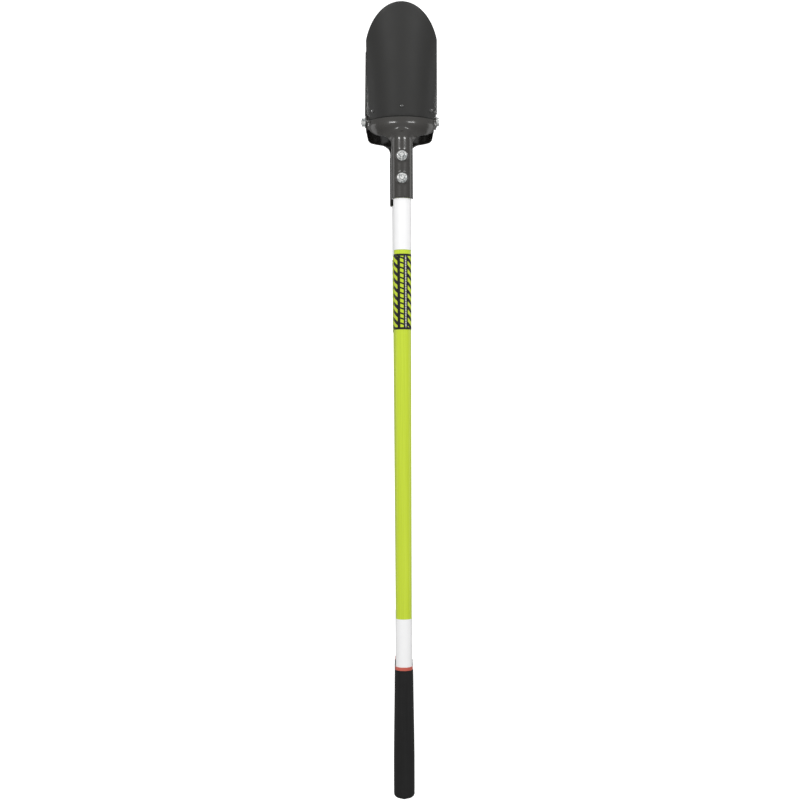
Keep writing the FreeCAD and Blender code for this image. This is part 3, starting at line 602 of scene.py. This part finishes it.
# %% [markdown]
# ## Frames
# A frame is one heavy pressing. Its corners are drawn, not cut, so every change of direction is a
# soft bend, and the socket grows out of the beaded band without a line. The joined copy is
# remeshed with small voxels, and a few rounds of smoothing then melt its corners. Many more
# rounds work on the neck, where the band flows into the socket; their reach shrinks from round
# to round, so that no edge shows where the smoothing stops.

# %% Frames
FRAME_VOXEL = 0.95 * MM
OVERALL_ROUNDS = 3
NECK_ROUNDS = 80
NECK_MIDDLE = -36 * MM
NECK_ABOVE = 17 * MM
NECK_BELOW = 30 * MM
NECK_HALF_WIDTH = 34 * MM
NECK_INSIDE = 46 * MM
NECK_SHRINK = 0.6
PRESSING_SHARP = math.radians(80)


def applied(item, *settings):
    """Apply modifiers, given as (type, properties), and return the resulting mesh."""
    for kind, properties in settings:
        modifier = item.modifiers.new(kind, kind)
        for key, setting in properties.items():
            setattr(modifier, key, setting)
    graph = bpy.context.evaluated_depsgraph_get()
    mesh = bpy.data.meshes.new_from_object(item.evaluated_get(graph))
    item.modifiers.clear()
    return mesh


def melt(bm, verts):
    """Move each vertex halfway towards the middle of its neighbours."""
    bmesh.ops.smooth_vert(bm, verts=verts, factor=0.5, use_axis_x=True, use_axis_y=True, use_axis_z=True)


def melt_neck(bm, middle, out):
    """Melt the outer side of the neck, over a reach that shrinks from round to round."""
    outer = [v for v in bm.verts
             if v.co.y * out > NECK_INSIDE and abs(v.co.x - middle) < NECK_HALF_WIDTH]
    for turn in range(NECK_ROUNDS):
        reach = 1 - NECK_SHRINK * turn / NECK_ROUNDS
        bottom = NECK_MIDDLE - NECK_BELOW * reach
        top = NECK_MIDDLE + NECK_ABOVE * reach
        melt(bm, [v for v in outer if bottom < v.co.z < top])


for half in HALVES:
    node = f"{half}_frame"
    item = link_mesh(merged_copy(node), f"{node}_pressed")
    remeshed = applied(item, ("REMESH", {"mode": "VOXEL", "voxel_size": FRAME_VOXEL}))
    bm = bmesh.new()
    bm.from_mesh(remeshed)
    for _ in range(OVERALL_ROUNDS):
        melt(bm, bm.verts)
    low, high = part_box(node)
    melt_neck(bm, (low[0] + high[0]) / 2, -1 if half == "front" else 1)
    smooth_by_angle(bm, PRESSING_SHARP)
    bm.to_mesh(item.data)
    bm.free()
    bpy.data.meshes.remove(remeshed)
    stand_for(item, node)

# %% [markdown]
# ## Grips
# The cushion grip is dip-moulded vinyl: a sleeve with a rolled lip, a closed rounded end and the
# small sprue nub. It is turned from one profile with Spin, which is how a lathe would cut its
# mould, and finished with a Subdivision Surface for a soft skin.

# %% Grips
SPIN_STEPS = 48
NUB_HEIGHT = 3.4 * MM
RING_WALL = 1.5 * MM
GRIP_TOP_RADIUS = 17.5 * MM
GRIP_STRAIGHT = 71 * MM
GRIP_LIP = 1.1 * MM
GRIP_CORNER = 8.0 * MM
GRIP_MOUTH_DEPTH = 14 * MM
SHOULDER_DROP = 7 * MM
TAPER_STEPS = 7
NUB_RADIUS = 5.6 * MM
GRIP_SHARP = math.radians(60)


def turned(points, steps=SPIN_STEPS, closed=False):
    """Spin an outline of (radius, height) points round Z; closed joins its last point to its first."""
    bm = bmesh.new()
    verts = [bm.verts.new((radius, 0, height)) for radius, height in points]
    edges = [bm.edges.new(pair) for pair in zip(verts, verts[1:] + (verts[:1] if closed else []))]
    bmesh.ops.spin(bm, geom=verts + edges, cent=(0, 0, 0), axis=(0, 0, 1), angle=2 * math.pi, steps=steps,
                   use_merge=True, use_duplicate=False)
    bmesh.ops.remove_doubles(bm, verts=bm.verts, dist=SLIVER)
    bmesh.ops.recalc_face_normals(bm, faces=bm.faces)
    return bm


def arc(cx, cz, radius, start, stop, count):
    """Points of an arc, in degrees from the +radius direction."""
    angles = [math.radians(start + (stop - start) * i / (count - 1)) for i in range(count)]
    return [(cx + radius * math.cos(a), cz + radius * math.sin(a)) for a in angles]


def grip_profile(bore, top_radius, radius, top, straight, end):
    """Outline of a grip from its mouth, down its outside and round its closed end."""
    points = [(bore, top - GRIP_MOUTH_DEPTH), (bore, top - GRIP_LIP)]
    points += arc(top_radius - GRIP_LIP, top - GRIP_LIP, GRIP_LIP, 100, 0, 5)
    points += [(top_radius - 0.35 * MM, top - 4.2 * MM), (top_radius + 0.1 * MM, top - SHOULDER_DROP)]
    for i in range(1, TAPER_STEPS + 1):
        share = i / TAPER_STEPS
        ease = share * share * (3 - 2 * share) * 0.5 + share * 0.5
        points.append((top_radius + (radius - top_radius) * ease,
                       top - SHOULDER_DROP - (top - SHOULDER_DROP - straight) * share))
    points += [(radius, (straight + end + GRIP_CORNER) / 2)]
    points += arc(radius - GRIP_CORNER, end + GRIP_CORNER, GRIP_CORNER, 0, -90, 7)
    points += [(NUB_RADIUS + 1.2 * MM, end - 0.05 * MM), (NUB_RADIUS, end - 0.5 * MM),
               (NUB_RADIUS - 0.3 * MM, end - 2.6 * MM), (NUB_RADIUS - 1.4 * MM, end - NUB_HEIGHT),
               (0, end - NUB_HEIGHT)]
    return points


for half in HALVES:
    node = f"{half}_grip"
    low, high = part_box(node)
    ring_low, ring_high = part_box(f"{half}_grip_ring")
    end = low[2] + NUB_HEIGHT
    radius = (high[1] - low[1]) / 2
    bore = (ring_high[1] - ring_low[1]) / 2 - RING_WALL
    bm = turned(grip_profile(bore, GRIP_TOP_RADIUS, radius, high[2], end + GRIP_STRAIGHT, end))
    ring_x, grip_x = (ring_low[0] + ring_high[0]) / 2, (low[0] + high[0]) / 2
    ring_z, grip_z = (ring_low[2] + ring_high[2]) / 2, (low[2] + high[2]) / 2
    slope = (grip_x - ring_x) / (grip_z - ring_z)
    for vert in bm.verts:
        vert.co.x += grip_x + slope * (vert.co.z - grip_z)
        vert.co.y += (low[1] + high[1]) / 2
    smooth_by_angle(bm, GRIP_SHARP)
    item = link_mesh(bm, f"{node}_cushion")
    skin = item.modifiers.new("skin", "SUBSURF")
    skin.levels = skin.render_levels = 1
    stand_for(item, node)

# %% [markdown]
# ## Hexagons, flanges and threads
# A forged nut is a hexagon whose corners a cone has trimmed. Bevels only imitate that cut, so the
# hexagonal prism is intersected with a turned blank that carries the cone and the countersunk
# bore. Threads are turned as a stack of ridges: at this size the eye cannot tell them from a
# true helix.

# %% Forged and turned parts
PITCH = 1.59 * MM
THREAD_DEPTH = 0.75 * MM
COUNTERSINK = 0.5 * MM
CONE = math.tan(math.radians(30))
HEX_REACH = 0.62
HEX_TOP = 0.485
RIDGES = 72
RIDGE_DEPTH = 0.22 * MM
THREAD_STEPS = 32
HARDWARE_SHARP = math.radians(28)


def crossed(first, second, operation):
    """Combine two bmeshes with a Boolean and return the result."""
    one, two = link_mesh(first, "first"), link_mesh(second, "second")
    mesh = applied(one, ("BOOLEAN", {"operation": operation, "object": two, "solver": "EXACT"}))
    bm = bmesh.new()
    bm.from_mesh(mesh)
    for item in (one, two):
        old = item.data
        bpy.data.objects.remove(item)
        bpy.data.meshes.remove(old)
    bpy.data.meshes.remove(mesh)
    return bm


def hexagon(flats, low, high):
    bm = bmesh.new()
    bmesh.ops.create_cone(bm, cap_ends=True, segments=6, radius1=flats / math.sqrt(3),
                          radius2=flats / math.sqrt(3), depth=high - low)
    bmesh.ops.translate(bm, verts=bm.verts, vec=(0, 0, (low + high) / 2))
    return bm


def trimmed_hexagon(flats, low, high, bore=0.0):
    """A hexagon along Z whose upper corners a cone has trimmed, with a bore if it is a nut."""
    reach = flats * HEX_REACH
    top = flats * HEX_TOP
    shoulder = high - (reach - top) * CONE
    outer = [(reach, low), (reach, shoulder), (top, high)]
    if bore:
        outline = [(bore, low), *outer, (bore + COUNTERSINK, high), (bore, high - COUNTERSINK)]
        return crossed(hexagon(flats, low, high), turned(outline, closed=True), "INTERSECT")
    blank = turned([(0, low), *outer, (0, high)])
    return crossed(hexagon(flats, low, high), blank, "INTERSECT")


def serrated_flange(radius, bore, height, hexagon_radius):
    """A flange whose sloping face carries fine ridges."""
    outline = [(bore, 0), (radius - 0.4 * MM, 0), (radius, 0.4 * MM), (radius, 0.8 * MM),
               (radius - 0.35 * MM, 1.15 * MM), (hexagon_radius, height), (bore, height)]
    bm = turned(outline, RIDGES, closed=True)
    for vert in bm.verts:
        turn = math.atan2(vert.co.y, vert.co.x)
        spoke = round(turn / (2 * math.pi) * RIDGES)
        if spoke % 2 and vert.co.z > 0.6 * MM and vert.co.xy.length > hexagon_radius * 0.9:
            vert.co.z -= RIDGE_DEPTH
    return bm


def threaded(radius, low, high):
    """A threaded rod along Z with chamfered ends."""
    count = int((high - low - PITCH) / PITCH)
    outline = [(0, low), (radius - THREAD_DEPTH, low)]
    for i in range(count):
        foot = low + PITCH * (i + 0.5)
        outline += [(radius - THREAD_DEPTH, foot), (radius, foot + 0.40 * PITCH),
                    (radius, foot + 0.55 * PITCH)]
    outline += [(radius - THREAD_DEPTH, foot + PITCH), (radius - 1.1 * THREAD_DEPTH, high), (0, high)]
    return turned(outline, THREAD_STEPS)


def joined(parts):
    """Join several bmeshes in one, as separate closed shells."""
    whole = bmesh.new()
    for part in parts:
        mesh = bpy.data.meshes.new("part")
        part.to_mesh(mesh)
        part.free()
        whole.from_mesh(mesh)
        bpy.data.meshes.remove(mesh)
    return whole


def placed(bm, direction, place):
    """Turn local +Z to a direction and move to a place."""
    turn = Vector((0, 0, 1)).rotation_difference(Vector(direction)).to_matrix().to_4x4()
    bmesh.ops.transform(bm, matrix=Matrix.Translation(Vector(place)) @ turn, verts=bm.verts)
    return bm


def add_hardware(parts, name, node):
    bm = joined(parts)
    smooth_by_angle(bm, HARDWARE_SHARP)
    stand_for(link_mesh(bm, name), node)


print("forging tools ready")

# %% [markdown]
# ## Handle bolts
# Each handle is held by two bolts from the hinge side, with flange nuts outside. The nut's flange
# is ridged so that it can't shake loose, and the bolt's end stands two threads proud.

# %% Handle bolts and nuts
BOLT_RADIUS = 4.76 * MM
HEX_FLATS = 14.3 * MM
HANDLE_BOLT_HEAD = 6.0 * MM
FLANGE_HEIGHT = 2.3 * MM
FLANGE_TOP_RADIUS = 7.0 * MM
HEXAGON_START = 0.4 * MM
THREAD_ROOM = 0.02 * MM
HEAD_OVERLAP = 0.5 * MM


def headed_bolt(head_height, length):
    """A threaded shank along +Z and its hexagon head, whose trimmed side faces -Z."""
    shank = threaded(BOLT_RADIUS - THREAD_ROOM, head_height - HEAD_OVERLAP, length)
    head = trimmed_hexagon(HEX_FLATS, 0, head_height)
    return shank, placed(head, (0, 0, -1), (0, 0, head_height))


def drops_of(node, radius):
    """Heights of the upper and lower fastener of a pair, from the node's box."""
    low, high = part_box(node)
    return high[2] - radius, low[2] + radius


for half in HALVES:
    out = (0, -1, 0) if half == "front" else (0, 1, 0)
    sign = out[1]
    low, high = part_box(f"{half}_handle_nuts")
    flange = (high[0] - low[0]) / 2
    middle = (low[0] + high[0]) / 2
    seat = high[1] if sign < 0 else low[1]
    nut_height = high[1] - low[1]
    bolt_low, bolt_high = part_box(f"{half}_handle_bolts")
    tip = bolt_low[1] if sign < 0 else bolt_high[1]
    head = bolt_high[1] if sign < 0 else bolt_low[1]
    nuts, bolts = [], []
    for height in drops_of(f"{half}_handle_nuts", flange):
        place = (middle, seat, height)
        parts = [serrated_flange(flange, BOLT_RADIUS, FLANGE_HEIGHT, FLANGE_TOP_RADIUS),
                 trimmed_hexagon(HEX_FLATS, HEXAGON_START, nut_height, BOLT_RADIUS)]
        nuts += [placed(part, out, place) for part in parts]
        bolts += [placed(part, out, (middle, head, height))
                  for part in headed_bolt(HANDLE_BOLT_HEAD, abs(tip - head))]
    add_hardware(nuts, f"{half}_flange_nuts", f"{half}_handle_nuts")
    add_hardware(bolts, f"{half}_threaded_bolts", f"{half}_handle_bolts")

# %% [markdown]
# ## Hinge hardware
# Each side turns on one bolt through a steel bushing, with washers against the ears. Washers and
# bushing are plain turned rings with eased outer edges. The bushing stays a little smaller than
# its bore, so that it runs free when the tool closes.

# %% Hinge bolts, nuts, washers and bushings
HINGE_BOLT_HEAD = 4.0 * MM
WASHER_WALL = 1.4 * MM
EDGE = 0.3 * MM
RUNNING_ROOM = 0.3 * MM


def ring_profile(inner, outer, low, high, edge):
    """Outline of a ring with eased outer edges."""
    return [(inner, low), (outer - edge, low), (outer, low + edge), (outer, high - edge),
            (outer - edge, high), (inner, high)]


for side in ("left", "right"):
    low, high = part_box(f"{side}_pivot_bolt")
    bolt = [placed(part, (-1, 0, 0), (high[0], 0, 0))
            for part in headed_bolt(HINGE_BOLT_HEAD, high[0] - low[0])]
    add_hardware(bolt, f"{side}_hinge_bolt", f"{side}_pivot_bolt")

    low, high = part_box(f"{side}_pivot_nut")
    nut = trimmed_hexagon(HEX_FLATS, 0, high[0] - low[0], BOLT_RADIUS)
    add_hardware([placed(nut, (-1, 0, 0), (high[0], 0, 0))], f"{side}_hinge_nut", f"{side}_pivot_nut")

    low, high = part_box(f"{side}_pivot_washers")
    radius = (high[2] - low[2]) / 2
    outline = ring_profile(BOLT_RADIUS, radius, 0, WASHER_WALL, EDGE)
    washers = [placed(turned(outline, closed=True), (1, 0, 0), (start, 0, 0))
               for start in (low[0], high[0] - WASHER_WALL)]
    add_hardware(washers, f"{side}_hinge_washers", f"{side}_pivot_washers")

    low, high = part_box(f"{side}_pivot_bushing")
    outside = (high[2] - low[2]) / 2 - RUNNING_ROOM
    tube = turned(ring_profile(BOLT_RADIUS, outside, 0, high[0] - low[0], EDGE), closed=True)
    add_hardware([placed(tube, (1, 0, 0), (low[0], 0, 0))], f"{side}_hinge_bushing", f"{side}_pivot_bushing")

# %% [markdown]
# ## Studio
# The tool is shown on white: a pale floor that curves up into a backdrop, so no horizon shows. The
# room is bright in front and dark behind, as with black flags behind the subject. That shades the
# edges of round pieces, and keeps a dark coat dark. Two soft boxes left and right of the lens give
# each rounded corner its pair of glints, two more do the same behind, and a tall strip on each side
# draws a line of light down the flanks of sockets and handles.

# %% Studio
def area(name, place, target, size, power):
    light = bpy.data.lights.new(name, "AREA")
    light.shape = "RECTANGLE"
    light.size, light.size_y = size
    light.energy = power
    item = bpy.data.objects.new(name, light)
    item.location = place
    item.rotation_euler = (Vector(target) - Vector(place)).to_track_quat("-Z", "Y").to_euler()
    bpy.context.scene.collection.objects.link(item)


def backdrop():
    """A floor that curves up behind the tool, as one swept sheet."""
    floor_height, depth, bend = -1.9, 5.0, 2.0
    bm = bmesh.new()
    path = [(-9.0, floor_height), (depth - bend, floor_height)]
    path += [(depth - bend + bend * math.sin(a), floor_height + bend - bend * math.cos(a))
             for a in (math.radians(10 * i) for i in range(1, 10))]
    path.append((depth, 7.0))
    half_width = 9.0
    verts = [bm.verts.new((-half_width, y, z)) for y, z in path]
    edges = [bm.edges.new(pair) for pair in zip(verts, verts[1:])]
    swept = bmesh.ops.extrude_edge_only(bm, edges=edges)
    moved = [g for g in swept["geom"] if isinstance(g, bmesh.types.BMVert)]
    bmesh.ops.translate(bm, verts=moved, vec=(2 * half_width, 0, 0))
    bmesh.ops.recalc_face_normals(bm, faces=bm.faces)
    for face in bm.faces:
        face.smooth = True
    return link_mesh(bm, "studio_floor")


def paper():
    finish = Finish("studio_paper", (0.9, 0.9, 0.9), 0.95, emission_strength=0.5)
    finish.shader.inputs["Emission Color"].default_value = (1, 1, 1, 1)
    tone = noise(finish.tree, finish.place(), 0.8, 2.0)
    finish.to("Base Color", ramp(finish.tree, tone, (0.3, 0.89), (0.7, 0.92)))
    return finish.material


def room(front, back, side_on):
    """Even light that is strong in front and weak behind; the lens sees plain white."""
    world = bpy.data.worlds.new("studio")
    world.use_nodes = True
    tree = world.node_tree
    direction = add_node(tree, "ShaderNodeTexCoord").outputs["Generated"]
    split = add_node(tree, "ShaderNodeSeparateXYZ", {"Vector": direction}).outputs
    away = maths(tree, "MULTIPLY_ADD", split["Y"], 0.5, 0.5)
    away_and_down = maths(tree, "MULTIPLY_ADD", split["Z"], -0.18, away)
    level = ramp(tree, away_and_down, (0.1, front), (0.5, side_on), (0.85, back))
    light = tree.nodes["Background"]
    feed(tree, light.inputs["Color"], level)
    white = add_node(tree, "ShaderNodeBackground", {"Color": (1.0, 1.0, 1.0, 1.0), "Strength": 1.0})
    path = add_node(tree, "ShaderNodeLightPath")
    mixed = add_node(tree, "ShaderNodeMixShader", {0: path.outputs["Is Camera Ray"], 1: light.outputs[0],
                                                   2: white.outputs[0]})
    feed(tree, tree.nodes["World Output"].inputs["Surface"], mixed.outputs[0])
    return world


floor = backdrop()
floor.data.materials.append(paper())
floor.visible_glossy = False
floor.visible_diffuse = False

bpy.context.scene.world = room(front=1.0, back=0.4, side_on=0.5)
bpy.context.scene.view_settings.view_transform = "Standard"
BOX_ASIDE, BOX_AWAY, BOX_HEIGHT = 1.15, 2.1, 0.78
BOX_SIZE = (0.8, 0.3)
BOX_TARGET = (0, 0, -0.1)
BOX_POWER = 15
STRIP_SIZE = (0.8, 2.2)
STRIP_TARGET = (0, 0, -0.4)
STRIP_POWER = 7
for side, name in ((-1, "left"), (1, "right")):
    area(f"soft_box_{name}", (BOX_ASIDE * side, -BOX_AWAY, BOX_HEIGHT), BOX_TARGET, BOX_SIZE, BOX_POWER)
    area(f"back_box_{name}", (BOX_ASIDE * side, BOX_AWAY, BOX_HEIGHT), BOX_TARGET, BOX_SIZE, BOX_POWER)
    area(f"rim_strip_{name}", (2.2 * side, 0.35, -0.3), STRIP_TARGET, STRIP_SIZE, STRIP_POWER)
print("studio ready")
